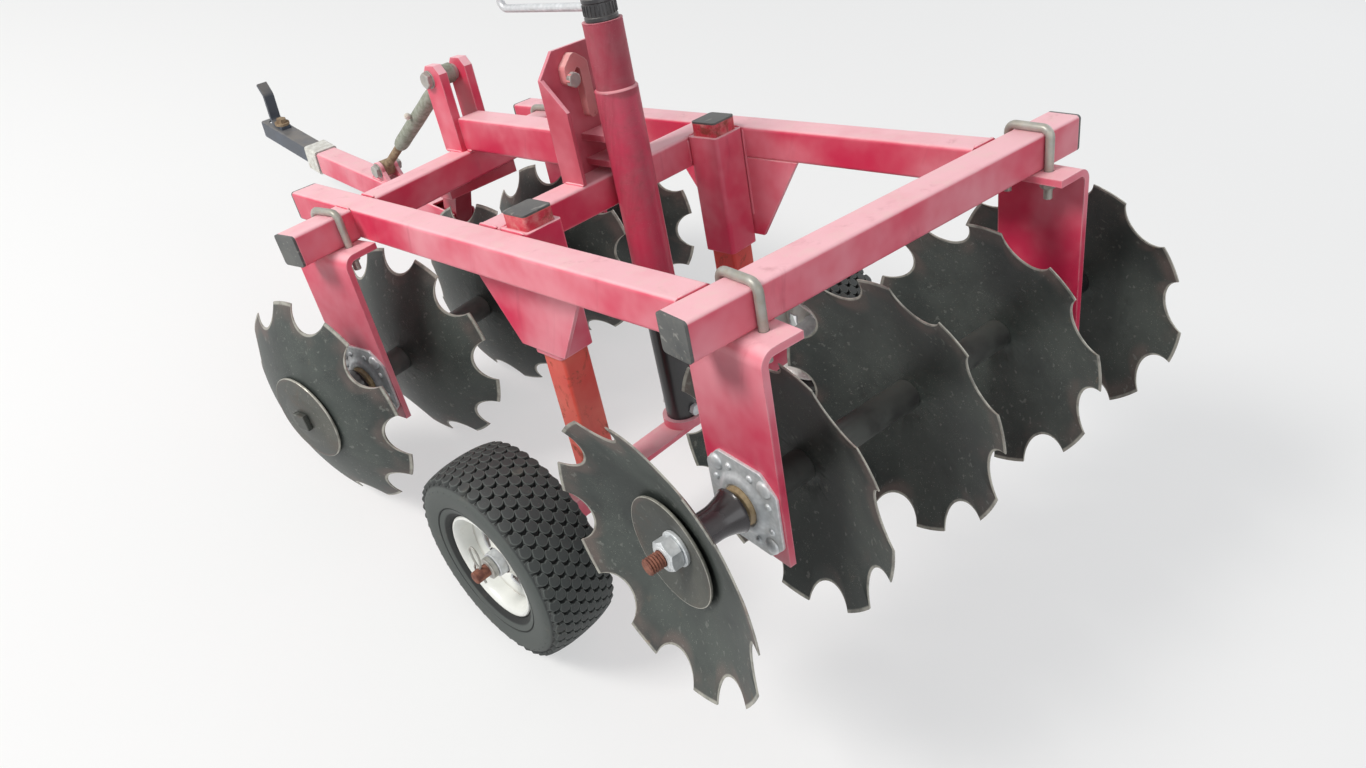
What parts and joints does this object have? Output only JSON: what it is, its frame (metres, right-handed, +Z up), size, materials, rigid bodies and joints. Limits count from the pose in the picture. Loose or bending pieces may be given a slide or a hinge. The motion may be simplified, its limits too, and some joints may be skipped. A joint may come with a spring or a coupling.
{
  "type": "offset disc harrow",
  "caption": "Towed offset disc harrow with two angled gangs of notched discs, a pair of lift wheels on a crank jack and a drawbar levelled by a turnbuckle.",
  "frame": {"origin": "bottom centre of the parked harrow's bounding box, on the ground", "axes": "+Y forward, towards the hitch; +X to the right; +Z up"},
  "size_m": [0.949, 2.0183, 0.8742],
  "materials": {
    "frame_red": "crimson paint, faded by the sun",
    "bracket_red": "crimson paint, faded by the sun",
    "tower_red": "crimson paint in its own shade",
    "leg_red": "orange red paint, rubbed by the sleeves",
    "black_paint": "glossy black paint",
    "cap_plastic": "matte grey black plastic",
    "zinc": "zinc plated, dulled",
    "disc_steel": "dark rolled steel with worn edges",
    "gang_black": "black paint",
    "tyre": "black rubber",
    "rim_white": "off white paint",
    "crank_silver": "bright plated bar",
    "tongue_black": "black paint, dusty",
    "collar_white": "off white",
    "turnbuckle_grey": "grey paint, weathered",
    "rusty_steel": "bare steel with surface rust"
  },
  "bodies": {
    "frame": {"rail_left": "frame_red", "rail_right": "frame_red", "rear_beam": "frame_red", "front_beam": "frame_red", "middle_beam": "frame_red", "tube_caps": "cap_plastic", "sleeves": "frame_red", "gussets": "bracket_red", "spine": "frame_red", "masts": "frame_red", "mast_bolt": "zinc", "tower": "tower_red", "tower_strap": "bracket_red", "jack_bracket": "bracket_red", "jack_tube": "frame_red", "jack_crank": "crank_silver", "rear_hangers": "bracket_red", "front_hangers": "bracket_red", "u_bolts": "zinc", "bearing_flanges": "zinc", "hitch_bracket": "tower_red"},
    "lift": {"leg_left": "leg_red", "leg_right": "leg_red", "leg_caps": "cap_plastic", "foot_bar": "bracket_red", "jack_foot": "bracket_red", "jack_inner": "black_paint", "jack_bolt": "zinc", "arm_left": "bracket_red", "arm_right": "bracket_red", "spindle_collars": "rusty_steel"},
    "wheel_left": {"tyre_left": "tyre", "rim_left": "rim_white", "hub_left": "rim_white"},
    "wheel_right": {"tyre_right": "tyre", "rim_right": "rim_white", "hub_right": "rim_white"},
    "rear_gang": {"rear_discs": "disc_steel", "rear_spools": "gang_black", "rear_gang_bolt": "rusty_steel"},
    "front_gang": {"front_discs": "disc_steel", "front_spools": "gang_black", "front_gang_bolt": "rusty_steel"},
    "drawbar": {"drawbar_tube": "bracket_red", "drawbar_pin": "zinc", "drawbar_collar": "collar_white", "drawbar_tongue": "tongue_black", "drawbar_ears": "bracket_red", "ear_bolt": "zinc", "hitch_strap": "tongue_black", "tongue_bolt": "rusty_steel"},
    "turnbuckle": {"turnbuckle_barrel": "turnbuckle_grey"},
    "turnbuckle_end": {"turnbuckle_rod": "rusty_steel"}
  },
  "joints": [
    {"name": "lift_slide", "type": "slide", "parent": "frame", "child": "lift", "axis": [0, 0.2926, 0.9562], "range_m": [-0.01, 0.2]},
    {"name": "wheel_left_spin", "type": "hinge", "parent": "lift", "child": "wheel_left", "pos_m": [-0.36214, -0.41012, 0.165], "axis": [1, 0, 0], "continuous": true},
    {"name": "wheel_right_spin", "type": "hinge", "parent": "lift", "child": "wheel_right", "pos_m": [0.38686, -0.41012, 0.165], "axis": [1, 0, 0], "continuous": true},
    {"name": "rear_gang_spin", "type": "hinge", "parent": "frame", "child": "rear_gang", "pos_m": [0.01236, -0.7654, 0.45726], "axis": [0.9892, -0.14, 0.0429], "continuous": true},
    {"name": "front_gang_spin", "type": "hinge", "parent": "frame", "child": "front_gang", "pos_m": [0.01236, 0.05887, 0.205], "axis": [0.9892, 0.14, -0.0429], "continuous": true},
    {"name": "drawbar_swing", "type": "hinge", "parent": "frame", "child": "drawbar", "pos_m": [0.02736, 0.22351, 0.28168], "axis": [1, 0, 0], "range_deg": [-8, 8]},
    {"name": "turnbuckle_swing", "type": "hinge", "parent": "frame", "child": "turnbuckle", "pos_m": [0.02736, 0.19878, 0.59252], "axis": [1, 0, 0], "range_deg": [-4, 4]},
    {"name": "turnbuckle_slide", "type": "slide", "parent": "turnbuckle", "child": "turnbuckle_end", "axis": [0, 0.6741, -0.7386], "range_m": [-0.03, 0.03]}
  ],
  "couplings": [
    {"joint": "turnbuckle_swing", "follows": "drawbar_swing", "ratio": 0.39958},
    {"joint": "turnbuckle_slide", "follows": "drawbar_swing", "m_per_rad": -0.19128}
  ]
}
